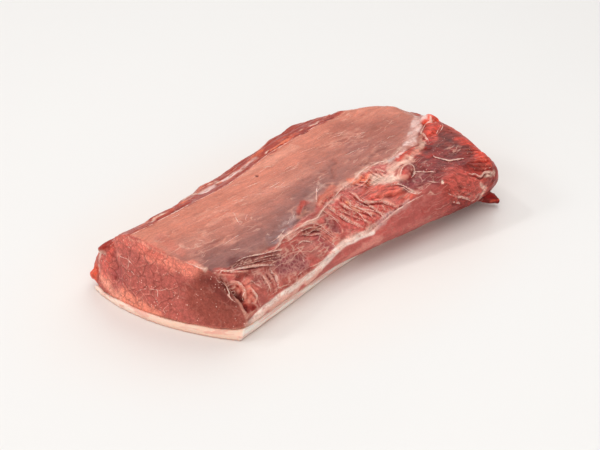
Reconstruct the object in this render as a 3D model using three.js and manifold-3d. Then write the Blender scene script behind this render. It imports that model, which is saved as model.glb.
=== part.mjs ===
// A trimmed boneless pork loin, lying on its fat cap with the rib side up.
//
// Frame: millimetres, +Z up, +X from the butcher's cut face towards the sirloin end, +Y from the
// rib side towards the chain side, and the origin on the board under the middle of the whole.
// The lean meat is skinned over rails that run along it, one rail for each landmark of its
// cross-section. The strands of the chain and the loose tip at the sirloin end are tapered
// strands joined to it. The fat cap fills the space between the meat's belly and the board.

import * as THREE from "three";
import { mergeVertices } from "three/addons/utils/BufferGeometryUtils.js";
import Module from "manifold-3d";

const manifold = await Module();
manifold.setup();

// ---- Driving dimensions ----------------------------------------------------------------------

const LENGTH = 246; // along the rib side, from the cut face to the sirloin end
const STATIONS = [0, 45, 95, 145, 195, 232, LENGTH]; // where the rails' points stand
const LAYER_GAP = 0.3; // between the meat and its fat cap

const CUT_SLANT = 0.256; // how far the cut face runs back for each millimetre across
const CUT_BULGE = 14; // how far the middle of the cut face stands out at the board
const CUT_LEAN = 0.25; // how far it leans back for each millimetre up
const CUT_EDGE_Y = -60; // the rib side corner, from which the slant is measured
const HALF_WIDTH = 60;

const END_BULGE = 10; // how far the middle of the sirloin end stands out
const END_LEAN = 0.3; // how far it leans back for each millimetre up
const END_DOME = 6; // how far the end face swells beyond its own rim

const STEPS_ALONG = 44;
const STEPS_PER_RAIL = 4;
const FACE_RINGS = 4;

// ---- Rails of the meat: [y, z] at each station -----------------------------------------------

const rails = {
  ribEdge: [[-59, 9], [-54, 8], [-47, 7], [-51, 7], [-56, 8], [-58, 8], [-56, 11]],
  ribWall: [[-56, 21], [-53, 17], [-50, 16], [-58, 18], [-62, 20], [-64, 22], [-60, 23]],
  ribSlope: [[-47, 33], [-44, 30], [-37, 29], [-45, 33], [-54, 37], [-56, 37], [-52, 33]],
  ridge: [[-36, 43], [-34, 41], [-25, 41], [-19, 43], [-14, 46], [-14, 47], [-14, 41]],
  faceNear: [[-12, 46], [-8, 45], [0, 45], [6, 47], [10, 49], [8, 49], [6, 43]],
  faceFar: [[22, 50], [26, 47], [30, 46], [36, 48], [36, 50], [30, 48], [26, 42]],
  shoulder: [[40, 41], [42, 40], [46, 39], [57, 44], [56, 46], [44, 44], [40, 39]],
  seam: [[47, 33], [51, 32], [57, 32], [68, 37], [68, 38], [56, 37], [50, 33]],
  chainTop: [[52, 28], [56, 28], [62, 28], [75, 34], [76, 34], [62, 34], [55, 30]],
  chainWall: [[57, 16], [61, 16], [69, 17], [80, 20], [80, 21], [66, 21], [58, 20]],
  farEdge: [[52, 4], [55, 5], [63, 5], [73, 7], [72, 8], [59, 8], [53, 10]],
  bellyFar: [[18, 4], [20, 5], [25, 5], [30, 5], [30, 5], [25, 6], [22, 9]],
  bellyNear: [[-25, 5], [-22, 6], [-16, 5], [-14, 5], [-14, 5], [-16, 6], [-16, 9]],
};

const BELLY_RAILS = 3; // the last of them, from the far edge, which the fat cap lies against

// ---- Strands joined to the meat: [x, y, z, radius] along each, tip first ---------------------

const strands = [
  [[-32, 53, 9, 3], [-25, 54, 10, 5.3], [-10, 54, 13, 6.5], [15, 51, 15, 7], [40, 46, 17, 4]],
  [[-29, 47, 30, 2.5], [-23, 47, 31, 4], [-10, 46, 30, 5], [8, 44, 28, 6], [30, 42, 26, 3]],
  [[241, -66, 3.5, 2], [237, -60, 6, 4.5], [230, -53, 11, 6.5], [220, -46, 18, 4]],
];
const STRAND_STEPS = 14;
const STRAND_SIDES = 10;

// ---- The fat cap -----------------------------------------------------------------------------

const CAP_STATIONS = [0, 55, 95, 125, 160, 205, LENGTH]; // where its edges' points stand
const capNear = [-58, -51, -45, -42, -42, -46, -46]; // y of its rib side edge
const capFar = [49, 51, 57, 64, 64, 55, 44]; // y of its chain side edge
const CAP_SWELL = 1.5; // how far each edge swells out between its top and the board
const CAP_OVERLAP = 1; // how far its blank reaches into the meat that is cut from it
const CAP_STEPS_ACROSS = 18;
const CUTTER_REACH = 8; // how far the cutter of its top runs past the meat's ends

// ---- Finishes --------------------------------------------------------------------------------

const rawLean = { color: 0xb0645a, roughness: 0.4, metalness: 0 };
const backFat = { color: 0xe2c6b4, roughness: 0.5, metalness: 0 };

// ---- Curves ----------------------------------------------------------------------------------

// The value at a distance along of a smooth curve through one value at each station.
function valueAt(values, stations, along) {
  const last = stations.length - 1;
  let i = 0;
  while (i < last - 1 && along > stations[i + 1]) i++;
  const slope = (k) => {
    const before = Math.max(k - 1, 0);
    const after = Math.min(k + 1, last);
    return (values[after] - values[before]) / (stations[after] - stations[before]);
  };
  const span = stations[i + 1] - stations[i];
  const t = (along - stations[i]) / span;
  return (
    values[i] * (1 + 2 * t) * (1 - t) ** 2 +
    values[i + 1] * t * t * (3 - 2 * t) +
    slope(i) * span * t * (1 - t) ** 2 -
    slope(i + 1) * span * t * t * (1 - t)
  );
}

// Where a point of the section at a distance along stands in X: the cut face is slanted, bulged
// and leans back, the sirloin end is bulged, and the sections between pass from one to the other.
function stationX(along, y, z) {
  const share = along / LENGTH;
  const bow = 1 - (y / HALF_WIDTH) ** 2;
  const cut = CUT_LEAN * z - CUT_SLANT * (y - CUT_EDGE_Y) - CUT_BULGE * bow;
  const end = LENGTH + END_BULGE * bow - END_LEAN * z;
  return cut * (1 - share) + end * share;
}

// The meat's outline at a distance along: [y, z] points of a closed curve through the rails.
function meatOutline(along) {
  const corners = Object.values(rails).map((rail) => {
    const y = valueAt(rail.map((point) => point[0]), STATIONS, along);
    const z = valueAt(rail.map((point) => point[1]), STATIONS, along);
    return new THREE.Vector3(y, z, 0);
  });
  const curve = new THREE.CatmullRomCurve3(corners, true, "centripetal");
  const count = corners.length * STEPS_PER_RAIL;
  return Array.from({ length: count }, (_, i) => curve.getPoint(i / count));
}

// The height at y of a run of points whose y falls steadily.
function heightAt(run, y) {
  const after = run.findIndex((p) => p.x <= y);
  const i = Math.min(Math.max(after, 1), run.length - 1);
  const [a, b] = [run[i - 1], run[i]];
  return a.y + ((b.y - a.y) * (y - a.x)) / (b.x - a.x);
}

// ---- Skins -----------------------------------------------------------------------------------

// A closed body skinned over rings of equal counts, which turn left-handed about the way that they
// follow each other. A pole closes each end, or without poles the end rings are closed straight
// across, from each point to the one that mirrors it past the first.
function skin(rings, poles = []) {
  const count = rings[0].length;
  const at = (row, i) => row * count + (i % count);
  const faces = [];
  const addQuad = (a, b, c, d) => {
    if (a !== b) faces.push(a, b, c);
    if (c !== d) faces.push(a, c, d);
  };
  for (let row = 0; row + 1 < rings.length; row++) {
    for (let i = 0; i < count; i++) {
      addQuad(at(row, i), at(row + 1, i), at(row + 1, i + 1), at(row, i + 1));
    }
  }
  const last = rings.length - 1;
  if (poles.length > 0) {
    for (let i = 0; i < count; i++) {
      faces.push((last + 1) * count, at(0, i), at(0, i + 1));
      faces.push((last + 1) * count + 1, at(last, i + 1), at(last, i));
    }
  } else {
    for (let i = 0; i < count / 2; i++) {
      addQuad(at(0, count - i), at(0, i), at(0, i + 1), at(0, count - i - 1));
      addQuad(at(last, i), at(last, count - i), at(last, count - i - 1), at(last, i + 1));
    }
  }
  const positions = [...rings.flat(), ...poles].flatMap((p) => [p.x, p.y, p.z]);
  const geometry = new THREE.BufferGeometry();
  geometry.setAttribute("position", new THREE.Float32BufferAttribute(positions, 3));
  geometry.setIndex(faces);
  return geometry;
}

function middleOf(points) {
  return points
    .reduce((sum, p) => sum.add(p), new THREE.Vector3())
    .divideScalar(points.length);
}

// One ring of the meat at a distance along, shrunk towards its middle and moved in X.
function meatRing(along, shrink = 0, move = 0) {
  const outline = meatOutline(along);
  const middle = middleOf(outline);
  return outline.map((p) => {
    const { x: y, y: z } = p.lerp(middle, shrink);
    return new THREE.Vector3(stationX(along, y, z) + move, y, z);
  });
}

function sideRings() {
  return Array.from({ length: STEPS_ALONG + 1 }, (_, i) => meatRing((LENGTH * i) / STEPS_ALONG));
}

// The meat between its two ends. Each end face is a set of rings that shrink to a pole.
function meatBody() {
  const domeAt = (shrink) => END_DOME * (1 - (1 - shrink) ** 2);
  const shares = Array.from({ length: FACE_RINGS - 1 }, (_, i) => (i + 1) / FACE_RINGS);
  const cutFace = shares.map((share) => meatRing(0, share)).reverse();
  const endFace = shares.map((share) => meatRing(LENGTH, share, domeAt(share)));
  const rings = [...cutFace, ...sideRings(), ...endFace];
  return skin(rings, [meatRing(0, 1)[0], meatRing(LENGTH, 1, END_DOME)[0]]);
}

// The same sides run on past both ends, to cut the fat cap's top with.
function bellyCutter() {
  const first = meatRing(0, 0, -CUTTER_REACH);
  const last = meatRing(LENGTH, 0, CUTTER_REACH);
  return skin([first, ...sideRings(), last], [middleOf(first), middleOf(last)]);
}

// A tapered strand of meat with round ends, along a smooth path.
function strandBody(stops) {
  const path = new THREE.CatmullRomCurve3(stops.map(([x, y, z]) => new THREE.Vector3(x, y, z)));
  const radii = stops.map((stop) => stop[3]);
  const shares = stops.map((_, k) => k / (stops.length - 1));
  const frames = path.computeFrenetFrames(STRAND_STEPS);
  const rings = [];
  for (let i = 0; i <= STRAND_STEPS; i++) {
    const t = i / STRAND_STEPS;
    const radius = valueAt(radii, shares, t);
    const centre = path.getPointAt(t);
    const ring = [];
    for (let side = 0; side < STRAND_SIDES; side++) {
      const turn = (2 * Math.PI * side) / STRAND_SIDES;
      const point = centre.clone();
      point.addScaledVector(frames.normals[i], radius * Math.cos(turn));
      point.addScaledVector(frames.binormals[i], -radius * Math.sin(turn));
      ring.push(point);
    }
    rings.push(ring);
  }
  const startPole = path.getPointAt(0).addScaledVector(frames.tangents[0], -radii[0] / 2);
  const endPole = path.getPointAt(1).addScaledVector(frames.tangents.at(-1), radii.at(-1) / 2);
  return skin(rings, [startPole, endPole]);
}

// The fat cap before the meat is cut from it: its underside is flat, and its top lies just inside
// the meat's belly.
function fatCapBlank() {
  const rings = [];
  for (let i = 0; i <= STEPS_ALONG; i++) {
    const along = (LENGTH * i) / STEPS_ALONG;
    const meat = meatOutline(along);
    const belly = [...meat.slice(-BELLY_RAILS * STEPS_PER_RAIL), meat[0]];
    const near = valueAt(capNear, CAP_STATIONS, along);
    const far = valueAt(capFar, CAP_STATIONS, along);
    const top = [];
    const base = [];
    for (let k = 0; k <= CAP_STEPS_ACROSS; k++) {
      const y = near + ((far - near) * k) / CAP_STEPS_ACROSS;
      top.push(new THREE.Vector2(y, heightAt(belly, y) + CAP_OVERLAP));
      base.push(new THREE.Vector2(y, 0));
    }
    const nearRim = new THREE.Vector2(near - CAP_SWELL, top[0].y / 2);
    const farRim = new THREE.Vector2(far + CAP_SWELL, top.at(-1).y / 2);
    const outline = [nearRim, ...top, farRim, ...base.reverse()];
    rings.push(outline.map(({ x: y, y: z }) => new THREE.Vector3(stationX(along, y, z), y, z)));
  }
  return skin(rings);
}

// ---- Joining and cutting ---------------------------------------------------------------------

function solidOf(geometry) {
  const merged = mergeVertices(geometry);
  return new manifold.Manifold(
    new manifold.Mesh({
      numProp: 3,
      vertProperties: merged.attributes.position.array,
      triVerts: new Uint32Array(merged.index.array),
    }),
  );
}

function namedMesh(name, solid, finish) {
  const { vertProperties, triVerts } = solid.getMesh();
  const geometry = new THREE.BufferGeometry();
  geometry.setAttribute("position", new THREE.BufferAttribute(vertProperties, 3));
  geometry.setIndex(new THREE.BufferAttribute(triVerts, 1));
  const mesh = new THREE.Mesh(geometry, new THREE.MeshStandardMaterial(finish));
  mesh.name = name;
  return mesh;
}

// ---- The loin --------------------------------------------------------------------------------

const union = (geometries) => geometries.map(solidOf).reduce((whole, piece) => whole.add(piece));
const strandBodies = strands.map(strandBody);
const meat = union([meatBody(), ...strandBodies]);
const cutter = union([bellyCutter(), ...strandBodies]).translate([0, 0, -LAYER_GAP]);
const fat = solidOf(fatCapBlank()).subtract(cutter);

const loin = new THREE.Group();
loin.add(namedMesh("lean_loin", meat, rawLean));
loin.add(namedMesh("fat_cap", fat, backFat));

const box = new THREE.Box3().setFromObject(loin);
const middle = box.getCenter(new THREE.Vector3());
loin.position.set(-middle.x, -middle.y, -box.min.z);

export default loin;
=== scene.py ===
import math

import bmesh
import bpy
import numpy as np
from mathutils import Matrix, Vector
from mathutils.bvhtree import BVHTree


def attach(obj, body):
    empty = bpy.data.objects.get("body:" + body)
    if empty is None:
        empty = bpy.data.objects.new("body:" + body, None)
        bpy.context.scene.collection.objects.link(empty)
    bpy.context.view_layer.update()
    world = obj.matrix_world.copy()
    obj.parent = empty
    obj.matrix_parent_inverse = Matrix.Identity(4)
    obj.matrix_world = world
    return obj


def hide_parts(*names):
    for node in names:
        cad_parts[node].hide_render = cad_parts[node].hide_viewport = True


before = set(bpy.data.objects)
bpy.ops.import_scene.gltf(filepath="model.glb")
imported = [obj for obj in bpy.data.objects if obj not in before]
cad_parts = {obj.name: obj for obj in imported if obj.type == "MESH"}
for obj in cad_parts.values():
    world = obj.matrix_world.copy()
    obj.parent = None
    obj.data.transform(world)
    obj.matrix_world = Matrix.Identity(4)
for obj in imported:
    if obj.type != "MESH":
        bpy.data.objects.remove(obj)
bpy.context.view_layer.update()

scene = bpy.context.scene

# ==== The lean meat ==============================================================================
# The long eye muscle with all that is grown onto it: the torn rib side, the darker sirloin end and
# the thin chain along the far edge. It is one wet solid, so bundles, seams, colours and relief are
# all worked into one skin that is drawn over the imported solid.

MM = 0.001


def link(name, mesh):
    piece = bpy.data.objects.new(name, mesh)
    scene.collection.objects.link(piece)
    return piece


def settled(piece):
    """Gives a piece the mesh that its modifiers make, and takes the modifiers off."""
    bpy.context.view_layer.update()
    graph = bpy.context.evaluated_depsgraph_get()
    made = bpy.data.meshes.new_from_object(piece.evaluated_get(graph))
    piece.modifiers.clear()
    piece.data = made


SAME_CORNER = 0.02
CUT_EDGE_ANGLE = math.radians(40)
CUT_EDGE_CREASE = 0.9


def rounded_copy(node, name):
    """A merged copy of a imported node, in four-sided faces, rounded everywhere but on its cut edges."""
    shape = bmesh.new()
    shape.from_mesh(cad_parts[node].data)
    bmesh.ops.remove_doubles(shape, verts=shape.verts, dist=SAME_CORNER * MM)
    bmesh.ops.join_triangles(
        shape, faces=shape.faces, angle_face_threshold=0.5, angle_shape_threshold=0.9
    )
    crease = shape.edges.layers.float.new("crease_edge")
    for edge in shape.edges:
        if len(edge.link_faces) == 2 and edge.calc_face_angle() > CUT_EDGE_ANGLE:
            edge[crease] = CUT_EDGE_CREASE
    mesh = bpy.data.meshes.new(name)
    shape.to_mesh(mesh)
    shape.free()
    piece = link(name, mesh)
    rounding = piece.modifiers.new("rounding", "SUBSURF")
    rounding.levels = rounding.render_levels = 2
    settled(piece)
    return piece


def tree_of(piece):
    """What lines are dropped onto: the piece's faces as they are now."""
    mesh = piece.data
    places = [vertex.co for vertex in mesh.vertices]
    return BVHTree.FromPolygons(places, [face.vertices for face in mesh.polygons])


# A line on the meat is drawn flat, seen from one side, and dropped straight onto it. Each side has
# the way that its lines drop, and what a pair of millimetres means on it: on the rib side the first
# runs along the loin and the second climbs from the lower edge over the ridge to the top.
SIDES = {
    "rib": ((0, 1, -1), lambda along, climb: (along, climb / 2, climb / 2)),
    "far": ((0, -1, -1), lambda along, climb: (along, -climb / 2, climb / 2)),
    "top": ((0, 0, -1), lambda along, across: (along, across, 0)),
    "cut": ((1, 0, 0), lambda across, up: (0, across, up)),
    "end": ((-1, 0, 0), lambda across, up: (0, across, up)),
}
DROP_FROM = 400
LINE_STEP = 0.8


def smooth_line(points):
    """A smooth curve through a few points, in short even steps."""
    points = np.array(points, float)
    if len(points) == 1:
        return points
    run = np.vstack([2 * points[0] - points[1], points, 2 * points[-1] - points[-2]])
    legs = []
    for before, start, stop, after in zip(run, run[1:], run[2:], run[3:]):
        count = max(2, int(np.linalg.norm(stop - start) / LINE_STEP))
        t = np.linspace(0, 1, count, endpoint=False)[:, None]
        bend = 2 * before - 5 * start + 4 * stop - after
        twist = 3 * start - 3 * stop + after - before
        legs.append(0.5 * (2 * start + (stop - before) * t + bend * t**2 + twist * t**3))
    return np.vstack(legs + [points[-1:]])


def lay(surface, points, side="rib"):
    """Drops a drawn line onto a surface: places and outward directions along it, in millimetres."""
    drop, place = SIDES[side]
    drop = Vector(drop).normalized()
    places = []
    outward = []
    for first, second in smooth_line(points):
        start = Vector(place(first, second)) - drop * DROP_FROM
        hit, normal, _, _ = surface.ray_cast(start * MM, drop)
        if hit is not None:
            places.append(hit / MM)
            outward.append(normal)
    return np.array(places), np.array(outward)


lean = rounded_copy("lean_loin", "lean_meat")
bare = tree_of(lean)

# What stands up from the meat before the skin is drawn over it: each is a drawn line with a radius
# at its start, middle and end, how flat it lies and how far its middle stands out.
BUNDLES = [
    # torn flaps round the hollow at the near corner
    ("rib", [(-108, -17), (-105, -20), (-103, -26), (-104, -33), (-105, -37)], (0.9, 1.6, 0.8), 0.5, 0.5),
    ("rib", [(-97, -29), (-97, -35), (-97, -39), (-99, -43)], (1.0, 1.8, 0.8), 0.5, 0.6),
    ("rib", [(-112, -6), (-106, -9), (-99, -12), (-92, -14)], (1.6, 2.2, 1.0), 0.5, 0.3),
    # the round end of a small rib muscle
    ("rib", [(58, -3), (63, 0), (67, 2)], (4.5, 5.6, 4.2), 0.5, 0.6),
    # bundles along the ridge
    ("rib", [(-11, 10), (-3, 14), (6, 15), (13, 14)], (1.4, 2.4, 1.6), 0.7, 0.3),
    ("rib", [(-28, 10), (-22, 15), (-17, 20)], (0.8, 1.4, 0.6), 0.6, 0.4),
    ("rib", [(28, 5), (32, 9), (36, 12), (40, 13)], (1.4, 2.2, 1.4), 0.7, 0.4),
    ("rib", [(73, 14), (81, 15), (89, 14), (94, 10)], (1.5, 2.2, 1.5), 0.7, 0.4),
    ("rib", [(26, -6), (35, -9), (44, -13), (50, -14)], (1.5, 2.6, 1.6), 0.6, 0.3),
    # red knobs and lobes beyond the silverskin
    ("rib", [(102, 25), (108, 25), (115, 29)], (2.2, 3.4, 2.6), 0.5, 0.5),
    ("rib", [(116, 36), (121, 37), (124, 34)], (2.8, 3.8, 2.4), 0.7, 1.2),
    # the loose scraps of the chain along the far edge
    ("rib", [(-96, 70), (-84, 72), (-72, 73)], (0.7, 1.0, 0.7), 0.6, 0.0),
    ("rib", [(-70, 74), (-60, 76), (-46, 78)], (0.8, 1.2, 0.8), 0.6, 0.0),
    ("rib", [(10, 86), (28, 89), (42, 91), (58, 92)], (0.8, 1.2, 0.8), 0.6, 0.3),
    ("rib", [(62, 93), (74, 92), (86, 90)], (0.8, 1.3, 0.8), 0.6, 0.3),
    # the same scraps where they hang down the far side
    ("far", [(-96, -38), (-80, -42), (-62, -40)], (0.7, 1.3, 0.7), 0.6, 0.0),
    ("far", [(-50, -48), (-30, -46), (-12, -50)], (0.7, 1.3, 0.7), 0.6, 0.0),
    ("far", [(4, -54), (24, -50), (44, -52)], (0.7, 1.3, 0.7), 0.6, 0.0),
    ("far", [(60, -44), (76, -48), (92, -42)], (0.7, 1.3, 0.7), 0.6, 0.0),
]
BEAD_SPACING = 0.5

# Where the meat was pulled apart it lies in strands. Each sheet of strands fills the space between
# two drawn lines: its side, the two lines, how many strands, their radius and how flat they lie.
SHEETS = [
    # the sirloin end, round its far side
    ("end", [(-62, 12), (-30, 22), (0, 30), (40, 28), (62, 18)],
     [(-60, 4), (-30, 6), (0, 8), (40, 8), (64, 6)], 6, 1.9, 0.4),
    # the chain, lengthwise down the far side
    ("far", [(-110, -10), (-60, -16), (0, -20), (60, -18), (110, -10)],
     [(-110, -66), (-60, -70), (0, -74), (60, -72), (110, -62)], 13, 2.2, 0.35),
]
SWAY = 0.9


def strands(sheets):
    """Turns each sheet into drawn bundles that thin out to their ends and sway a little."""
    chance = np.random.default_rng(8)
    drawn = []
    for side, first, last, count, radius, flatness in sheets:
        for turn in range(count):
            share = (turn + 0.5 + 0.3 * chance.uniform(-1, 1)) / count
            path = np.array(first) * (1 - share) + np.array(last) * share
            path += SWAY * chance.normal(size=path.shape)
            thick = radius * chance.uniform(0.75, 1.2)
            drawn.append((side, path, (0.5 * thick, thick, 0.5 * thick), flatness, 0.0))
    return drawn


def bead_shape():
    shape = bmesh.new()
    bmesh.ops.create_icosphere(shape, subdivisions=2, radius=1)
    corners = np.array([vertex.co[:] for vertex in shape.verts])
    faces = np.array([[corner.index for corner in face.verts] for face in shape.faces])
    shape.free()
    return corners, faces


def add_bundles(piece, surface, bundles):
    """Strings overlapping beads along each drawn bundle and puts them into the piece's mesh."""
    corners, faces = bead_shape()
    all_corners = []
    all_faces = []
    for side, points, radii, flatness, lift in bundles:
        places, outward = lay(surface, points, side)
        t = np.linspace(0, 1, len(places))
        thick = np.interp(t, (0, 0.5, 1), radii)
        last = None
        for place, normal, radius in zip(places, outward, thick):
            if last is not None and np.linalg.norm(place - last) < radius * BEAD_SPACING:
                continue
            last = place
            pressed = corners - (1 - flatness) * np.outer(corners @ normal, normal)
            all_faces.append(faces + len(corners) * len(all_corners))
            all_corners.append(place + normal * lift + pressed * radius)
    beads = bpy.data.meshes.new("bundles")
    beads.from_pydata(np.vstack(all_corners) * MM, [], np.vstack(all_faces).tolist())
    shape = bmesh.new()
    shape.from_mesh(piece.data)
    shape.from_mesh(beads)
    shape.to_mesh(piece.data)
    shape.free()


SKIN_GRAIN = 0.86
HIDDEN_WITHIN = 0.9
HIDDEN_RINGS = 4
FAR_FACING = 0.3
FAR_THINNING = 0.6
MOST_TRIANGLES = 190000


def skin_over(piece, grain):
    """Draws one skin over everything in the piece, and takes the steps out of it."""
    skin = piece.modifiers.new("skin", "REMESH")
    skin.mode = "VOXEL"
    skin.voxel_size = grain * MM
    evening = piece.modifiers.new("evening", "SMOOTH")
    evening.factor = 0.5
    evening.iterations = 1
    settled(piece)


def numbers(mesh, what, width=3):
    """A mesh's places, normals or edge ends as one table."""
    source, field = {
        "co": (mesh.vertices, "co"),
        "normal": (mesh.vertices, "normal"),
        "ends": (mesh.edges, "vertices"),
    }[what]
    table = np.empty(len(source) * width, int if what == "ends" else float)
    source.foreach_get(field, table)
    return table.reshape(-1, width)


def thin_hidden(piece, cover, most):
    """Keeps a number of triangles, with few against the cover and fewer on the plain far side."""
    mesh = piece.data
    places = numbers(mesh, "co")
    reach = HIDDEN_WITHIN * MM
    hidden = np.array([cover.find_nearest(place, reach)[0] is not None for place in places])
    ends = numbers(mesh, "ends", 2)
    for _ in range(HIDDEN_RINGS):
        keep = hidden[ends].all(axis=1)
        hidden[ends[~keep].ravel()] = False
    group = piece.vertex_groups.new(name="hidden")
    far = numbers(mesh, "normal")[:, 1] > FAR_FACING
    group.add(np.nonzero(far)[0].tolist(), FAR_THINNING, "REPLACE")
    group.add(np.nonzero(hidden)[0].tolist(), 1.0, "REPLACE")
    triangles = 2 * len(mesh.polygons)
    thinning = piece.modifiers.new("thinning", "DECIMATE")
    thinning.ratio = max(0.3, min(1.0, most / triangles))
    thinning.vertex_group = "hidden"
    settled(piece)
    piece.vertex_groups.clear()


add_bundles(lean, bare, BUNDLES + strands(SHEETS))
skin_over(lean, SKIN_GRAIN)
# the fat cap is rounded here already, because what it covers is thinned
fat = rounded_copy("fat_cap", "fat_cap_layer")
thin_hidden(lean, tree_of(fat), MOST_TRIANGLES)

# The relief and the colours are worked out for every point of the skin, in millimetres. Pale and
# dark tell how far off the nearest seam and the nearest gap are, in widths of each; dark places get
# painted shade.
surface = tree_of(lean)
spots = numbers(lean.data, "co") / MM
facing = numbers(lean.data, "normal")
rise = np.zeros(len(spots))
NOWHERE_NEAR = 9.0
pale = np.full(len(spots), NOWHERE_NEAR)
dark = np.full(len(spots), NOWHERE_NEAR)
x, y, z = spots.T
climb = y + z


def step(low, high, value):
    """Goes smoothly from 0 to 1 as a value goes from low to high."""
    part = np.clip((value - low) / (high - low), 0, 1)
    return part * part * (3 - 2 * part)


def clouds(places, size, seed):
    """Soft random lumps between -1 and 1, of a size in millimetres for each direction."""
    lattice = np.random.default_rng(seed).uniform(-1, 1, (32, 32, 32))
    grid = places / np.array(size) + 500
    cell = np.floor(grid).astype(int)
    part = grid - cell
    part = part * part * (3 - 2 * part)
    total = np.zeros(len(places))
    for corner in np.ndindex(2, 2, 2):
        weight = np.prod(np.where(corner, part, 1 - part), axis=1)
        a, b, c = ((cell + corner) % 32).T
        total += weight * lattice[a, b, c]
    return total


def grains(places, size, seed):
    """How far into its own cell each place lies: 0 on the walls between cells, up to 1 inside."""
    scatter = np.random.default_rng(seed).uniform(0.1, 0.9, (32, 32, 32, 3))
    grid = places / np.array(size) + 500
    cell = np.floor(grid).astype(int)
    nearest = np.full(len(places), NOWHERE_NEAR)
    second = np.full(len(places), NOWHERE_NEAR)
    for corner in np.ndindex(3, 3, 3):
        there = cell + corner - 1
        a, b, c = (there % 32).T
        gap = np.linalg.norm(there + scatter[a, b, c] - grid, axis=1)
        second = np.minimum(second, np.maximum(nearest, gap))
        nearest = np.minimum(nearest, gap)
    return second - nearest


def paint(red, green, blue):
    """A colour as it looks, in the light values that the renderer uses."""
    value = np.array((red, green, blue)) / 255
    return np.where(value > 0.04045, ((value + 0.055) / 1.055) ** 2.4, value / 12.92)


def strayed_by(amount, size, seeds):
    """How far each place strays to either side, for each direction, in millimetres."""
    return amount * np.stack([clouds(spots, size, seed) for seed in seeds], axis=1)


# A place is read a little beside itself where an edge is ragged, and each seam comes and goes.
strayed = spots + strayed_by(1.6, 6, (1, 2, 3)) + strayed_by(0.7, 2.2, (4, 5, 6))
bent_spots = spots + strayed_by(1.2, 4, (41, 42, 43))
show = np.clip(0.75 + 0.7 * clouds(spots, 5, 13), 0.2, 1.3)
show_dark = np.clip(0.6 + 0.9 * clouds(spots, 6, 14), 0.1, 1.4)


def beside(points, reach, side, places):
    """The skin beside a drawn line: which points, how far off, on which hand, and how far along."""
    line, outward = lay(surface, points, side)
    if len(line) == 1:
        line = np.vstack([line, line + 0.01])
        outward = np.vstack([outward, outward])
    inside = ((places > line.min(axis=0) - reach) & (places < line.max(axis=0) + reach)).all(axis=1)
    picked = np.nonzero(inside)[0]
    start = line[:-1]
    leg = line[1:] - start
    gap = places[picked][:, None] - start
    t = np.clip((gap * leg).sum(axis=2) / ((leg**2).sum(axis=1) + 1e-9), 0, 1)
    gap -= t[:, :, None] * leg
    off = np.linalg.norm(gap, axis=2)
    closest = off.argmin(axis=1)
    row = np.arange(len(picked))
    across = np.cross(outward[:-1], leg)[closest]
    hand = np.sign((gap[row, closest] * across).sum(axis=1))
    along = (closest + t[row, closest]) / len(leg)
    off = off[row, closest]
    close = off < reach
    return picked[close], off[close], hand[close], along[close]


def fullness(picked, along, blunt):
    """How full a line is: it comes and goes, and thins out from its middle to its blunt ends."""
    return np.minimum(1, 4 * np.minimum(along, 1 - along) + blunt) * show[picked]


def swell(points, radius, height, side="rib"):
    """Raises or sinks the skin softly along a line."""
    picked, off, _, _ = beside(points, radius, side, strayed)
    rise[picked] += height * (1 - (off / radius) ** 2) ** 2


# The free edges and seams drawn below: each gets a loose thread later.
EDGES = []


def cord(points, width, height=0.3, side="rib", under=0.0):
    """A thin pale seam, with a furrow under it on its right-hand side if that has a depth, painted dark
    as painted shade.
    """
    picked, off, hand, along = beside(points, 3 * width + 2, side, spots)
    taper = fullness(picked, along, 0.35)
    ratio = off / (width * taper)
    rise[picked] += height * taper * np.exp(-(ratio**2) * 1.2)
    pale[picked] = np.minimum(pale[picked], ratio)
    # painted shade in the furrow under the seam
    if under:
        away = np.abs(-hand * off - 1.6 * width)
        rise[picked] -= under * taper * np.exp(-((away / (0.9 * width)) ** 2))
        dark[picked] = np.minimum(dark[picked], away / (0.6 * width * taper * show_dark[picked]))
    EDGES.append((side, points, min(0.42, 0.5 * width)))


def furrow(points, width, depth, side="rib"):
    """A cut or gap between two bundles, sunk in and painted dark as painted shade."""
    picked, off, _, along = beside(points, 3 * width + 1, side, spots)
    taper = fullness(picked, along, 0.2)
    ratio = off / (width * taper)
    rise[picked] -= depth * taper * np.exp(-(ratio**2))
    dark[picked] = np.minimum(dark[picked], ratio)


def shelf(points, body, height, gap=1.0, rim=0.3, side="rib", glow=0.4):
    """The free edge of a fold, which lies on the left-hand side of the line, over a gap. The fold is
    painted lighter towards its edge as painted highlight, and the gap dark as painted shade.
    """
    picked, off, hand, along = beside(points, max(body, 3 * gap), side, spots)
    taper = fullness(picked, along, 0.1)
    inward = off * hand
    part = np.clip(inward / body, 0, 1)
    crest = step(-0.5, 0.4, inward) * (1 - part) ** 2
    gully = np.exp(-(((inward + 0.9 * gap) / (0.7 * gap)) ** 2))
    rise[picked] += taper * height * (crest - 0.7 * gully)
    # painted highlight: the fold's body is lighter towards its free edge
    lit = glow * taper * np.where(inward > 0, (1 - part) ** 2, 0)
    tissue[picked] += (paint(246, 160, 138) - tissue[picked]) * lit[:, None]
    pale[picked] = np.minimum(pale[picked], np.abs(inward - 0.5 * rim) / (rim * taper))
    # painted shade in the gap under the free edge
    gap_width = 0.5 * gap * taper * show_dark[picked]
    dark[picked] = np.minimum(dark[picked], np.abs(inward + 0.9 * gap) / gap_width)
    if rim > 0.2:
        EDGES.append((side, points, 0.6 * rim))


def pleats(first, last, count, height, seed, side="rib", glow=0.4):
    """Uneven folds side by side, each over the next, from one drawn line to another."""
    chance = np.random.default_rng(seed)
    apart = np.linalg.norm(np.subtract(first, last), axis=1).mean() / count
    for turn in range(count):
        share = (turn + 0.5 + 0.35 * chance.uniform(-1, 1)) / count
        path = np.array(first) * (1 - share) + np.array(last) * share
        path = path + 0.15 * apart * chance.normal(size=path.shape)
        tall = height * chance.uniform(0.5, 1.3)
        rim = chance.uniform(0.5, 1.1) * glow * 0.7
        shelf(path, apart, tall, 0.26 * apart, rim, side, glow * chance.uniform(0.3, 1.5))


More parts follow.
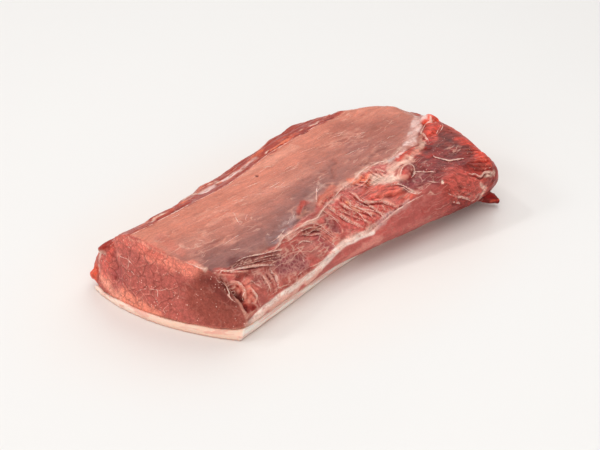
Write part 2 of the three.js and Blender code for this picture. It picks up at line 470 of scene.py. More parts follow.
def creases(places, size, seed, sharp=0.22):
    """1 along wandering lines, down to 0 beside them."""
    return np.exp(-((clouds(places, size, seed) / sharp) ** 2))


tissue = np.zeros((len(spots), 3))


def colour_all(mask, colour):
    """Colours all the skin as strongly as a mask says."""
    tissue[:] += (paint(*colour) - tissue) * mask[:, None]


def vary(mask, change):
    """Makes the skin under a mask lighter or darker by a share of its colour."""
    tissue[:] *= 1 + (mask * change)[:, None]


patchy = step(-0.35, 0.35, clouds(strayed, (9, 2.4, 2.4), 16) + 0.4 * clouds(spots, 1.8, 17))


def wash(points, radius, colour, strength=1.0, side="rib", soft=0.5, ragged=True, streaks=0.0):
    """Colours the skin round a line, up to a ragged edge, and partly in streaks if asked for."""
    picked, off, _, _ = beside(points, radius * (1 + soft), side, strayed if ragged else spots)
    mask = strength * (1 - step(radius * (1 - soft), radius * (1 + soft), off))
    mask *= 1 - streaks * (1 - patchy[picked])
    tissue[picked] += (paint(*colour) - tissue[picked]) * mask[:, None]


# -- The kinds of meat, from the top over the ridge and round the ends ----------------------------
SILVERSKIN = (207, 125, 103)
DULL_SILVERSKIN = (174, 106, 91)
GREY_SILVERSKIN = (140, 88, 81)
PALE_SILVERSKIN = (222, 146, 124)
TORN_MEAT = (188, 94, 86)
LOWER_MEAT = (192, 98, 91)
SIRLOIN_MEAT = (142, 40, 32)
SIRLOIN_RED = (178, 72, 60)
CUT_MEAT = (197, 102, 91)
CHAIN_MEAT = (168, 72, 60)
DEEP_RED = (150, 46, 38)
BRIGHT_RED = (196, 66, 50)
WHITE_FAT = (248, 216, 196)
CREAM_FAT = (255, 212, 190)

# Two lines run along the loin: the ridge, where the silverskin ends, and the upper fat band, under
# the torn meat. A third climbs over the top, where the dark sirloin meat begins.
RIDGE = [(-116, -1), (-75, -5), (-57, -3), (-33, 4), (-21, 8), (-2, 15), (25, 19), (76, 21), (118, 18)]
BAND = [(-106, -55), (-76, -48), (-57, -46), (-36, -42), (-20, -36), (-4, -34), (12, -36), (25, -32)]
BAND += [(40, -29), (60, -27), (80, -44), (120, -60)]
SIRLOIN_START = [(13, 94), (20, 101), (29, 104), (33, 111), (41, 122), (60, 132), (90, 140)]


def read_off(line, values):
    """Reads the second number of a drawn line off at each value of its first."""
    return np.interp(values, *np.array(line).T)


# A mask for each kind of meat: 1 where it lies, down to 0 over a ragged border.
wander = 2.5 * clouds(spots, 9, 11) + 1.2 * clouds(spots, 3, 12)
on_cut = step(0.55, 0.8, -facing[:, 0]) * step(95, 100, -x)
over_ridge = climb - read_off(RIDGE, x)
near_half = step(0.05, 0.3, -y / 60 + 0.3)
below_ridge = step(-1.5, 1.5, wander - over_ridge) * near_half
above_band = step(-1.0, 1.0, climb - read_off(BAND, x))
torn = below_ridge * above_band * (1 - step(62, 74, x + wander)) * (1 - on_cut)
into_sirloin = x - read_off(SIRLOIN_START, climb) + 0.6 * wander
end_zone = step(-1.0, 1.0, into_sirloin / np.interp(climb, (-14, 4), (9, 1.5)))
into_sirloin = (x - 74 + wander) / np.interp(climb, (-34, -20), (14, 2))
end_zone = np.maximum(end_zone, below_ridge * step(-1, 1, into_sirloin))
far_side = step(-1.5, 1.5, -facing[:, 2] * 20 + y - 62 + wander)
lower = below_ridge * (1 - above_band)
top_zone = (1 - below_ridge) * (1 - end_zone) * (1 - far_side) * (1 - on_cut)

colour_all(np.ones(len(spots)), SILVERSKIN)
over_ridge += 2 * wander
colour_all(step(58, 22, over_ridge), DULL_SILVERSKIN)
colour_all(0.9 * step(34, 8, over_ridge) * step(60, -10, x), GREY_SILVERSKIN)
colour_all(0.4 * step(0.1, 0.8, clouds(spots, (34, 14, 14), 15)), PALE_SILVERSKIN)
colour_all(below_ridge, TORN_MEAT)
colour_all(lower, LOWER_MEAT)
colour_all(end_zone, SIRLOIN_MEAT)
colour_all(0.6 * end_zone * step(112, 128, x) * step(-30, -10, climb), SIRLOIN_RED)
colour_all(far_side, CHAIN_MEAT)
colour_all(on_cut, CUT_MEAT)

# -- The top: silverskin with dull patches, long shallow folds and fine wrinkles ------------------
wash([(50, 36), (58, 34), (66, 34)], 9.0, (168, 100, 86), 0.9)
wash([(54, 48), (70, 46)], 8.0, (168, 100, 88), 0.8)
wash([(66, 70), (74, 56), (92, 50)], 14.0, (168, 94, 78), 0.8)
wash([(-22, 74), (0, 75), (22, 77)], 5.0, PALE_SILVERSKIN, 0.9)
wash([(-118, 50), (-120, 40), (-119, 30)], 4.0, (200, 112, 94), 0.7)
folds = creases(bent_spots, (34, 9, 9), 51) * step(-0.2, 0.5, clouds(spots, 16, 52))
wrinkles = creases(bent_spots, (13, 4, 4), 53, 0.26) * step(-0.1, 0.5, clouds(spots, 9, 54))
rise += top_zone * (0.45 * clouds(spots, (38, 7, 7), 21) + 0.16 * clouds(spots, (16, 2.4, 2.4), 22))
rise -= top_zone * (0.4 * folds + 0.2 * wrinkles)
# painted shade: darker along the long folds and fine wrinkles
vary(top_zone, -0.08 * folds - 0.06 * wrinkles)
lines = creases(strayed, (26, 4.0, 4.0), 65, 0.14) * step(-0.1, 0.5, clouds(spots, 14, 66))
rise += top_zone * 0.3 * lines
colour_all(0.38 * top_zone * lines, (236, 168, 146))
vary(top_zone, 0.08 * clouds(strayed, (18, 4, 4), 55) + 0.03 * clouds(strayed, 3, 56))
# two shallow dents, painted darker as painted shade
for points in ([(18, 30), (23, 37), (32, 44)], [(45, 28), (49, 23), (58, 22)]):
    wash(points, 2.0, (150, 90, 78), 0.35)
    swell(points, 3.4, -0.6)

# -- The rib side, the sirloin end, the far side and the cut: lumps, cells and uneven colour ------
rise += torn * (0.8 * clouds(spots, (11, 6, 6), 23) + 0.3 * clouds(spots, (5, 2.6, 2.6), 24))
rise += lower * (0.5 * clouds(spots, (14, 6, 6), 25) + 0.2 * clouds(spots, 3, 26))
strand = clouds(strayed, (17, 2.6, 2.6), 27)
rise += end_zone * (0.35 * strand + 0.3 * clouds(spots, 7, 28) + 1.0)
vary(end_zone, 0.3 * strand)
vary(lower * (1 - end_zone), 0.14 * clouds(strayed, (9, 3, 3), 57) + 0.1 * clouds(spots, 2.2, 58))
vary(torn, 0.16 * clouds(strayed, (5, 4, 4), 59) + 0.1 * clouds(spots, 2, 60))
rise += far_side * (0.6 * clouds(spots, (16, 6, 6), 29) + 0.4 * clouds(spots, (6, 2.4, 2.4), 30))

net = grains(bent_spots, (11, 5, 5), 44)
rise += 0.5 * torn * (np.minimum(net, 0.4) - 0.2)
cells = grains(bent_spots, (9, 8, 5.5), 46)
left_part = step(1.2, 0.7, np.hypot((y - 4) / 36, (z - 25) / 20))
rise += on_cut * (0.5 * left_part * (np.minimum(cells, 0.35) - 0.2) + 0.35 * clouds(spots, 5, 31))
vary(on_cut, 0.05 * clouds(strayed, 7, 33) + 0.05 * clouds(spots, 2.4, 34))

# the outline: where the loin stands out more than its solid, or less
swell([(121, 30), (126, 14), (124, -6), (124, -22), (124, -34)], 20.0, 2.6)
swell([(-63, 32), (-66, 22)], 12.0, 2.2, "end")
swell([(88, 44), (97, 36), (108, 30), (116, 22)], 14.0, 2.4, "top")
swell([(-100, 12), (-88, 9), (-74, 5)], 9.0, 1.4, "far")
swell([(-60, -13), (-50, -17), (-42, -21)], 15.0, 2.2, "far")
swell([(-40, -22), (-30, -24)], 14.0, 1.6, "far")
swell([(4, -29), (20, -31)], 20.0, -2.8, "far")
swell([(22, -32), (44, -31)], 19.0, -2.0, "far")
swell([(60, -26), (72, -21), (80, -18)], 15.0, 1.6, "far")
swell([(-140, -6), (-134, 4)], 7.0, -2.0, "far")

# -- The near corner: a torn hollow behind the cut, with ragged flaps round it --------------------
HOLLOW = [(-113, -13), (-112, -19), (-109, -28), (-106, -36), (-105, -43)]
# painted shade: the hollow and its deep lower end are painted dark
wash(HOLLOW, 2.6, (128, 54, 42), 1.0)
swell(HOLLOW, 3.8, -2.2)
wash([(-105, -43), (-100, -44)], 4.0, DEEP_RED, 0.95)
swell([(-105, -43), (-100, -44)], 3.6, -1.2)
wash([(-105, -22), (-102, -31), (-103, -38)], 3.0, (236, 130, 110), 0.95)
wash([(-101, -25), (-94, -27), (-92, -32)], 3.8, (222, 124, 108), 0.9)
wash([(-98, -31), (-98, -41)], 3.0, (238, 136, 116), 0.9)
wash([(-112, -6), (-106, -10), (-97, -14), (-88, -17)], 3.2, (188, 98, 86), 0.8)
wash([(-113, -3), (-108, -6)], 2.4, BRIGHT_RED, 0.9)
wash([(-100, -15), (-96, -17)], 2.0, (158, 62, 50), 0.8)
shelf([(-108, -17), (-105, -20), (-103, -24), (-103, -28), (-105, -32), (-105, -36)],
      4.0, 1.6, 1.1, 0.45)
shelf([(-104, -22), (-99, -24), (-93, -24), (-91, -29), (-88, -34)], 3.5, 0.9, 0.8, 0.35)
shelf([(-97, -29), (-97, -34), (-96, -39), (-99, -43)], 2.6, 1.2, 0.9, 0.45)
shelf([(-94, -36), (-95, -42), (-94, -48)], 3.0, 0.6, 0.8, 0.25)
shelf([(-113, -4), (-108, -6), (-103, -10), (-96, -13)], 3.0, 1.0, 0.8, 0.35)

# -- Seams and net along the rib side -------------------------------------------------------------
wash([(-60, -7), (-50, -4), (-42, 1)], 3.4, (182, 88, 78), 0.9)
wash([(-98, -3), (-86, -9), (-78, -15), (-66, -16)], 4.6, (112, 50, 47), 0.95)
wash([(-100, -13), (-88, -18), (-76, -22)], 2.6, (150, 70, 61), 0.8)
wash([(-86, -26), (-78, -30), (-72, -34)], 6.0, (172, 96, 88), 0.8)
wash([(-64, -24), (-56, -28), (-50, -31)], 6.0, (142, 74, 78), 0.85)
wash([(-66, -38), (-60, -40)], 3.4, (190, 90, 78), 0.8)
wash([(-37, -18), (-33, -24)], 6.0, (186, 112, 102), 0.8)
# painted shade: the next two dark patches lie in the shallow dents sunk just below
wash([(-33, -6), (-27, -8), (-22, -11)], 3.0, (140, 60, 56), 0.9)
wash([(-11, -9), (-9, -16)], 3.8, (150, 76, 76), 0.9)
wash([(-24, -20), (-20, -28)], 4.0, (170, 80, 82), 0.8)
wash([(-20, -22), (-14, -26)], 3.4, (212, 120, 106), 0.7)
wash([(-84, -40), (-70, -42), (-52, -44)], 5.0, (196, 100, 88), 0.7)
swell([(-33, -7), (-27, -9), (-22, -10)], 3.4, -0.8)
swell([(-12, -8), (-10, -14)], 4.2, -0.8)
pleats([(-98, -5), (-84, -8), (-70, -11), (-58, -15)],
       [(-96, -9), (-84, -13), (-72, -18), (-64, -21)], 3, 0.4, 71)
pleats([(-46, -3), (-34, -3), (-25, -4), (-18, -9), (-13, -24)],
       [(-40, -9), (-31, -10), (-24, -12), (-20, -18), (-19, -30)], 2, 0.6, 73)
pleats([(-88, -21), (-86, -30), (-86, -42)], [(-72, -24), (-71, -34), (-72, -44)], 3, 0.4, 74)
shelf([(-99, -3), (-88, -3), (-76, -7), (-64, -10), (-51, -15), (-44, -13)],
      2.4, 0.5, 0.7, 0.4, glow=0.15)
shelf([(-114, 0), (-106, -7), (-96, -10), (-85, -14), (-74, -19), (-68, -23)],
      3.0, 0.8, 0.9, 0.6, glow=0.1)
furrow([(-92, -8), (-80, -13), (-72, -17), (-66, -18)], 0.5, 0.6)
shelf([(-71, -8), (-64, -8), (-56, -6), (-49, -7), (-37, -4), (-30, -2)], 3.0, 0.5, 0.7, 0.4, glow=0.15)


def spread_round(lines, reach):
    """1 along drawn lines on the rib side, down to 0 at a reach from them."""
    spread = np.zeros(len(spots))
    for points in lines:
        picked, off, _, _ = beside(points, reach, "rib", strayed)
        spread[picked] = np.maximum(spread[picked], 1 - step(0.5 * reach, reach, off))
    return spread


FOAM_LINES = [[(-60, -20), (-52, -24), (-46, -28)], [(-80, -26), (-72, -28)], [(-62, -34), (-54, -35)]]
foam = spread_round(FOAM_LINES, 8)
NET_LINES = [
    [(-76, -24), (-73, -30), (-74, -35), (-76, -41), (-85, -44)],
    [(-75, -21), (-74, -30), (-75, -39), (-70, -45)],
    [(-70, -41), (-60, -44), (-56, -39), (-47, -37), (-38, -38), (-28, -37)],
    [(-58, -46), (-50, -42), (-42, -41)],
    [(-46, -15), (-44, -21), (-46, -28), (-45, -36)],
    [(-44, -14), (-38, -13), (-32, -18), (-32, -26)],
    [(-24, -13), (-21, -22), (-18, -28), (-17, -35)],
]
for points in NET_LINES:
    cord(points, 0.38, 0.3, under=0.2)
shelf([(-46, -1), (-34, -1), (-26, -2), (-19, -8), (-16, -17), (-11, -27)], 3.4, 0.9, 1.0, 0.4)
shelf([(-35, -8), (-29, -12), (-22, -15), (-19, -24)], 3.0, 0.6, 0.8, 0.3)
shelf([(-13, -5), (-7, -9), (-6, -19), (-9, -23), (-14, -17)], 2.6, 0.8, 0.8, 0.4)

# -- The fingers: slanting folds where the rib muscles were pulled off ----------------------------
wash([(2, 2), (8, -12), (16, -24)], 12.0, (200, 86, 78), 0.8)
wash([(-10, 12), (-2, 17), (6, 18), (10, 20)], 2.6, (204, 112, 90), 0.8)
wash([(-28, 14), (-21, 18), (-17, 19)], 2.2, (176, 66, 54), 0.9)
wash([(25, 16), (33, 14), (34, 8), (40, 14)], 3.4, (232, 108, 70), 0.95)
wash([(30, -2), (40, -8), (47, -15), (52, -20)], 5.6, (210, 94, 78), 0.95)
wash([(22, -4), (28, -14), (32, -22)], 4.0, (206, 84, 74), 0.8)
wash([(8, 0), (10, -7), (12, -12)], 1.2, (238, 150, 96), 0.8)
wash([(6, 6), (8, 3)], 1.8, (150, 48, 42), 0.8)
wash([(18, -7), (21, -9)], 1.2, (96, 56, 58), 0.9)
wash([(-64, -2), (-50, 4), (-36, 12)], 4.0, (158, 128, 128), 0.8, streaks=0.8)
wash([(-49, 10), (-40, 11), (-32, 15)], 3.0, (196, 152, 142), 0.6, streaks=0.9)
NEAR_SEAM = [(-63, -8), (-52, -2), (-40, -1), (-28, 1), (-19, 0), (-10, 5), (-1, 8)]
MIDDLE_SEAM = [(-1, 8), (12, 14), (25, 16), (38, 21), (52, 22), (65, 20), (79, 24)]
wash(NEAR_SEAM, 1.7, (226, 178, 162), 0.8, streaks=0.5)
wash(MIDDLE_SEAM, 2.0, (228, 182, 164), 0.8, streaks=0.6)
wash([(-12, 20), (-4, 24), (4, 26)], 3.5, (206, 160, 146), 0.6, streaks=0.8)
pleats([(-11, 5), (-9, -5), (-6, -13), (-3, -22), (-1, -30)],
       [(14, 9), (15, 0), (18, -10), (26, -20), (33, -28)], 8, 0.6, 75)
pleats([(20, 0), (22, -12), (25, -24)], [(34, -17), (38, -22), (42, -26)], 2, 0.4, 76)
pleats([(22, 14), (26, 8), (30, 2)], [(46, 17), (48, 10), (50, 4)], 6, 0.6, 77)
FINGERS = [
    [(3, 11), (4, 1), (7, -6), (11, -14), (12, -23), (12, -31)],
    [(-5, 9), (-4, -2), (-1, -10), (3, -19), (5, -27)],
    [(-11, 5), (-8, -4), (-5, -13), (-3, -20)],
    [(20, 0), (21, -13), (24, -25), (25, -32)],
    [(9, 6), (10, -4), (14, -12), (17, -20), (18, -29)],
    [(19, 9), (27, 8), (38, 12), (40, 19)],
    [(43, 19), (44, 12), (45, 4)],
    [(47, 16), (52, 9)],
]
for points in FINGERS:
    shelf(points, 3.6, 0.9, 0.7, 0.36)
shelf([(16, 11), (17, 1), (20, -9), (30, -15), (35, -22), (37, -28)], 5.0, 1.6, 1.2, 0.5)
shelf([(40, -3), (50, -8), (54, -19), (58, -25)], 4.0, 0.9, 0.8, 0.45)
cord(NEAR_SEAM, 0.6, 0.5, under=0.2)
cord(MIDDLE_SEAM, 0.6, 0.5, under=0.2)
cord([(-41, 2), (-36, 9), (-31, 14)], 0.5, 0.4, under=0.2)
cord([(-11, 13), (-4, 22), (4, 26)], 0.5, 0.4, under=0.2)
cord([(-66, -1), (-57, 0), (-46, 5), (-36, 12)], 0.4, 0.2)

# -- The middle of the ridge: white fat, a round red muscle end and the red band ------------------
wash([(40, 8), (47, 4), (54, 0)], 4.6, WHITE_FAT, 0.85, streaks=0.25)
wash([(56, 8), (66, 12), (74, 8)], 3.2, CREAM_FAT, 0.7, streaks=0.4)
wash([(60, 0), (66, 0)], 5.2, (206, 80, 68), 0.95)
wash([(58, 2), (64, 5)], 2.6, (164, 62, 54), 0.7)
wash([(69, 15), (78, 17), (85, 14), (93, 13)], 3.2, (198, 76, 60), 0.95)
wash([(94, 13), (92, 10)], 2.6, (166, 40, 30), 0.9)
cord([(54, -2), (60, 4), (66, 6), (71, 5), (69, -1), (66, -6), (61, -8)], 0.6, 0.5, under=0.4)
cord([(49, -11), (52, -17), (54, -22), (57, -25), (60, -25)], 0.7, 0.5, under=0.4)
wash([(50, -14), (54, -20), (58, -24)], 1.6, (226, 170, 154), 0.7, streaks=0.5)

# -- The glossy seam and the upper fat band above the lower muscle --------------------------------
UPPER_BAND = [(28, -31), (19, -33), (12, -36), (3, -34), (-4, -34), (-10, -33), (-20, -36), (-36, -42)]
UPPER_BAND += [(-57, -46), (-76, -48), (-96, -52), (-108, -56)]
# the glossy seam: pale membrane with painted highlight along it
wash([(48, -28), (39, -29), (33, -30), (24, -32), (14, -35)], 2.2, (214, 172, 166), 0.85, streaks=0.3)
wash(UPPER_BAND[2:], 2.1, (255, 234, 222), 0.95, soft=0.35, ragged=False, streaks=0.1)
wash([(-108, -60), (-96, -57), (-80, -54), (-62, -52)], 2.4, (230, 174, 158), 0.85)
wash([(-40, -51), (-20, -48), (0, -46), (16, -45)], 2.6, (226, 142, 130), 0.8)
wash([(along, up - 3.0) for along, up in UPPER_BAND[7:]], 1.8, (238, 184, 168), 0.85)
wash([(-112, -58), (-104, -57), (-96, -54)], 3.4, (250, 220, 206), 0.9, streaks=0.2)
wash([(14, -34), (-4, -31), (-16, -33)], 2.2, (236, 184, 166), 0.7, streaks=0.5)
wash([(68, -30), (60, -34), (50, -36), (40, -38)], 6.0, (178, 88, 82), 0.7)
shelf([(60, -28), (50, -28), (39, -29), (33, -30), (24, -32), (14, -35), (11, -36)], 3.0, 0.8, 0.9, 0.5)
for offset in (-0.9, 0.7):
    vein = [(along, up + offset) for along, up in UPPER_BAND[3:]]
    wash(vein, 0.35, (220, 150, 136), 0.7, streaks=0.6)

# -- The sirloin end: dark meat in lengthwise folds, with white seams and red knobs ---------------
wash([(100, 12), (112, 9), (117, 1), (118, -8)], 9.0, (102, 28, 22), 0.9)
wash([(121, 20), (128, 16)], 6.0, (164, 62, 48), 0.9)
wash([(94, 8), (98, 0), (104, -8)], 4.0, (122, 32, 28), 0.9)
wash([(68, 0), (80, -6), (90, -10), (98, -16)], 6.5, (120, 36, 36), 0.9)
wash([(54, -12), (62, -14), (70, -15), (78, -22)], 5.0, (124, 46, 52), 0.9)
wash([(120, 0), (125, -10), (121, -24)], 6.0, (206, 62, 44), 0.85)
# the end's own red, made brighter along its rim by painted rim light
wash([(131, 18), (132, 6), (132, -12), (130, -28)], 4.0, (226, 86, 64), 0.9, streaks=0.3)
wash([(129, -34), (128, -48)], 5.0, (170, 62, 56), 0.8)
wash([(58, -46), (72, -50), (84, -54)], 5.0, (172, 76, 70), 0.7)
wash([(76, -14), (86, -20), (95, -27)], 6.0, (122, 42, 42), 0.75)
wash([(88, -32), (98, -42), (108, -50)], 10.0, (196, 88, 78), 0.85)
wash([(100, 22), (90, 15), (80, 12), (68, 10)], 2.0, CREAM_FAT, 0.6, streaks=0.4)
wash([(119, 29), (111, 25), (103, 19)], 4.4, (200, 72, 58), 1.0)
wash([(99, 14), (103, 18)], 2.4, (150, 34, 26), 0.9)
wash([(116, 38), (122, 38), (126, 36)], 5.0, (222, 74, 50), 1.0)
cord([(113, 36), (118, 32), (125, 33)], 0.7, 0.3, under=0.3)
cord([(128, 30), (122, 25), (114, 21), (110, 19)], 0.5, 0.3, under=0.5)
cord([(69, -18), (72, -22), (76, -25)], 0.45, 0.3, under=0.3)
furrow([(117, 12), (125, 11), (132, 7)], 0.8, 1.0)
pleats([(102, 20), (114, 18), (128, 10)], [(93, 2), (97, -8), (106, -14)], 8, 0.3, 81, glow=0.1)
pleats([(114, 6), (122, 0), (130, -8)], [(104, -29), (113, -35), (124, -39)], 11, 0.45, 82, glow=0.14)
pleats([(70, 3), (80, 0), (88, -5), (94, -12), (104, -19)],
       [(66, -8), (74, -11), (81, -16), (90, -24), (100, -28)], 6, 0.5, 83, glow=0.16)
pleats([(56, -8), (66, -10), (76, -15), (84, -22)],
       [(54, -19), (62, -22), (72, -25), (80, -30)], 5, 0.4, 84, glow=0.16)
pleats([(86, -20), (94, -28), (104, -38), (112, -46)],
       [(76, -36), (85, -45), (95, -52), (104, -57)], 9, 0.6, 85, glow=0.16)
cord([(122, 41), (114, 34), (109, 32), (103, 28), (101, 20), (97, 15)], 0.8, 0.5, under=0.5)
cord([(91, 4), (90, -2), (93, -7), (95, -11), (100, -13), (107, -16)], 0.7, 0.5, under=0.6)
cord([(68, -4), (73, -9), (79, -15)], 0.6, 0.4, under=0.4)
cord([(99, -28), (103, -33), (106, -34), (110, -39), (115, -37), (123, -41)], 0.7, 0.5, under=1.0)
wash([(113, -38), (123, -41)], 1.6, WHITE_FAT, 0.8, streaks=0.5)
furrow([(102, -35), (106, -37), (110, -41), (116, -40)], 0.6, 0.9)
cord([(78, -38), (84, -44), (92, -49), (102, -55), (108, -53)], 0.7, 0.5, under=0.5)
cord([(81, -47), (89, -52)], 0.7, 0.5, under=0.5)
wash([(110, -45), (114, -50), (112, -54), (112, -57)], 1.5, WHITE_FAT, 0.7, streaks=0.6)
wash([(119, -58), (124, -64), (130, -68)], 4.5, (128, 10, 6), 1.0)
# painted highlight at the end of the tip
wash([(124, -66), (134, -70)], 1.0, (214, 84, 56), 0.8, streaks=0.3)
swell([(120, -60), (134, -70)], 6.0, -1.3)
swell([(78, -27)], 1.6, 0.6)
wash([(78, -27)], 1.2, WHITE_FAT, 1.0)
for streak in (
    [(128, 47), (109, 38), (98, 30), (86, 24), (74, 19), (62, 19)],
    [(119, 41), (110, 36), (96, 27), (88, 23)],
    [(116, 46), (103, 38), (94, 30), (85, 24)],
    [(124, 50), (112, 44), (102, 36)],
):
    wash(streak, 1.8, (238, 206, 198), 0.9, streaks=0.75)
wash([(116, 44), (104, 38), (94, 30)], 4.5, (208, 158, 148), 0.45, streaks=0.8)

# -- The chain: a thin ragged strip along the far edge, with fat between it and the eye -----------
CHAIN_SEAM = [(-141, 66), (-125, 66), (-105, 67), (-90, 68), (-74, 70), (-59, 70), (-39, 72), (-20, 76)]
CHAIN_SEAM += [(-5, 80), (11, 84), (31, 86), (48, 88), (61, 89), (81, 88)]
toward_rib = (facing[:, 2] - facing[:, 1]) / math.sqrt(2)
chain = step(-1, 1, climb - read_off(CHAIN_SEAM, x) + 0.4 * wander) * step(0.0, 0.2, toward_rib)
chain *= step(-142, -138, x) * step(96, 84, x) * (1 - on_cut)
colour_all(chain, (164, 64, 50))
chance = np.random.default_rng(33)
SCRAPS = (WHITE_FAT, (222, 112, 80), CHAIN_MEAT, DEEP_RED, (206, 92, 70))
SCRAP_SHARES = (0.2, 0.34, 0.12, 0.14, 0.2)
for start in np.arange(-118, 88, 3.0):
    reach = chance.uniform(6, 20)
    above = chance.uniform(0.5, 9)
    low, high = read_off(CHAIN_SEAM, (start, start + reach)) + above
    scrap = [(start, low), (start + reach, high + chance.uniform(-1, 2))]
    kind = SCRAPS[chance.choice(len(SCRAPS), p=SCRAP_SHARES)]
    wash(scrap, chance.uniform(0.6, 1.6), kind, 0.9, streaks=0.4)
    swell(scrap, 2.2, chance.uniform(-0.6, 0.4))
cord(CHAIN_SEAM, 0.5, 0.3)
furrow([(along, up + 1.8) for along, up in CHAIN_SEAM], 0.5, 0.6)
wash([(-29, 80), (-18, 82)], 3.2, (246, 216, 208), 0.9, streaks=0.3)
wash([(-53, 76), (-43, 78)], 3.0, (246, 214, 206), 0.9, streaks=0.3)
wash([(-12, 84), (0, 87)], 2.2, (244, 208, 196), 0.8, streaks=0.5)
wash([(14, 87), (28, 89)], 2.6, (226, 120, 88), 0.9)
furrow([(40, 87), (46, 88), (52, 88)], 0.8, 1.2)
furrow([(56, 90), (62, 91)], 0.8, 1.2)

# -- The cut face: pale marbling in fine-grained meat, painted light at its rims, painted shade ---
# painted light: a glow along the lower rim, and painted highlight along the rounded upper rim and the
# left edge
wash([(31, 10), (20, 9), (9, 8), (0, 7), (-10, 5)], 5.0, (255, 156, 130), 0.9, "cut")
wash([(38, 12), (30, 8), (20, 7)], 3.4, (255, 170, 146), 0.9, "cut")
wash([(4, 44), (-8, 42), (-23, 41), (-33, 41), (-39, 39)], 4.4, (250, 146, 124), 0.85, "cut")
wash([(32, 37), (23, 43), (12, 45), (0, 45), (-10, 44)], 4.0, (226, 116, 100), 0.7, "cut")
wash([(36, 34), (36, 24), (36, 14)], 4.0, (232, 108, 94), 0.7, "cut")
wash([(22, 18), (24, 14)], 6.0, (180, 84, 82), 0.7, "cut")
# painted shade: darker towards the near side of the face, which turns away from the light
wash([(-42, 34), (-50, 28), (-55, 24)], 9.0, (112, 40, 32), 0.9, "cut")
wash([(-38, 24), (-46, 16), (-58, 12)], 11.0, (156, 76, 62), 0.85, "cut")
wash([(-34, 44), (-39, 43)], 2.0, (240, 196, 176), 0.9, "cut", streaks=0.5)
UPPER_RIM = [(16, 47), (7, 49), (1, 48), (-4, 47), (-14, 46), (-26, 45)]
wash(UPPER_RIM, 0.9, (240, 164, 142), 0.7, "cut", streaks=0.3)
cord([(-26, 45), (-33, 44), (-39, 43)], 0.6, 0.3, "cut")
wash([(38, 31), (42, 26), (43, 21), (43, 15)], 1.3, (244, 206, 192), 0.9, "cut")
cord([(-45, 40), (-50, 34), (-53, 30), (-56, 27), (-59, 25)], 0.6, 0.4, "cut")
MARBLING = [
    [(1, 42), (3, 36)],
    [(12, 27), (8, 25)],
    [(5, 15), (-1, 19), (-6, 21), (-13, 22), (-18, 25)],
    [(-11, 22), (-12, 17)],
    [(16, 36), (14, 31), (15, 26)],
    [(-20, 14), (-17, 10), (-19, 8)],
    [(24, 32), (16, 33), (10, 31)],
]
for points in MARBLING:
    cord(points, 0.35, 0.15, "cut")

# -- Small pits in the silverskin, and the tips of the chain at the cut ---------------------------
# each pit is painted darker as painted shade
for place in ((0, 40), (6, 79), (-21, 66)):
    swell([place], 1.6, -0.8)
    wash([place], 1.2, (120, 66, 56), 0.8)
at_cut = step(-120, -132, x)
low_tip = step(42, 44, y) * step(17, 14, z) * at_cut
high_tip = step(36, 39, y) * step(24, 27, z) * at_cut
colour_all(low_tip, (232, 96, 70))
colour_all(high_tip, (160, 52, 42))
colour_all(high_tip * step(25, 28, z) * step(32, 29, z), WHITE_FAT)


def raise_skin(piece, places, outward, heights):
    """Moves each point of a piece outward by its height, but never under the table."""
    moved = places + outward * heights[:, None]
    moved[:, 2] = np.maximum(moved[:, 2], 0)
    piece.data.vertices.foreach_set("co", (moved * MM).ravel())
    piece.data.update()


raise_skin(lean, spots, facing, rise)


def hollows_of(mesh, rounds):
    """How far each point lies below its neighbours, in millimetres: below nothing on a crest."""
    places = numbers(mesh, "co") / MM
    outward = numbers(mesh, "normal")
    ends = numbers(mesh, "ends", 2)
    shared = np.bincount(ends.ravel(), minlength=len(places))[:, None]

    def averaged(values):
        total = np.zeros_like(values)
        np.add.at(total, ends[:, 0], values[ends[:, 1]])
        np.add.at(total, ends[:, 1], values[ends[:, 0]])
        return total / shared

    around = places
    for _ in range(rounds):
        around = averaged(around)
    depth = ((around - places) * outward).sum(axis=1)
    return averaged(depth[:, None])[:, 0]


def store(mesh, name, values):
    """Keeps a number or a colour for each point of a mesh, for its material to read."""
    if values.ndim == 2:
        layer = mesh.attributes.new(name, "FLOAT_COLOR", "POINT")
        layer.data.foreach_set("color", np.hstack([values, np.ones((len(values), 1))]).ravel())
    else:
        layer = mesh.attributes.new(name, "FLOAT", "POINT")
        layer.data.foreach_set("value", values)


# the smooth lobes among the torn folds
calm = spread_round([[(28, -1), (40, -8), (50, -16)]], 11)
calm = np.maximum(calm, spread_round([[(69, 15), (80, 17), (93, 13)], [(30, 12), (50, 6)]], 6))
torn_look = np.clip(torn + 0.3 * below_ridge * (1 - 0.85 * end_zone), 0, 1) * (1 - 0.85 * calm)
KEPT = {
    "pale": np.minimum(pale, 3),
    "dark": np.minimum(dark, 3),
    "net": net,
    "torn": torn_look,
    "cut": on_cut,
    "streaky": np.clip(0.28 + torn + end_zone + far_side, 0, 1) * (1 - on_cut),
    "slant": torn * step(-16, -6, x) * step(62, 48, x) * (1 - calm),
    "celled": on_cut * (0.25 + 0.75 * left_part),
    "foam": foam,
    "ending": end_zone,
    "hollow": np.clip(hollows_of(lean.data, 3) / 0.35, -1, 1),
}
store(lean.data, "tissue", tissue)
for name, values in KEPT.items():
    store(lean.data, name, values)


def fill(node, inputs):
    """Sets each input of a node, or joins it to the socket that feeds it."""
    for name, value in inputs.items():
        if isinstance(value, bpy.types.NodeSocket):
            node.id_data.links.new(value, node.inputs[name])
        else:
            node.inputs[name].default_value = value


def brew(kind, inputs, tree=None, **settings):
    """Adds a node to a tree, or to the tree of the sockets that feed it, and fills its inputs."""
    if tree is None:
        feeding = [value for value in inputs.values() if isinstance(value, bpy.types.NodeSocket)]
        tree = feeding[0].id_data
    made = tree.nodes.new(kind)
    for name, value in settings.items():
        setattr(made, name, value)
    fill(made, inputs)
    return made


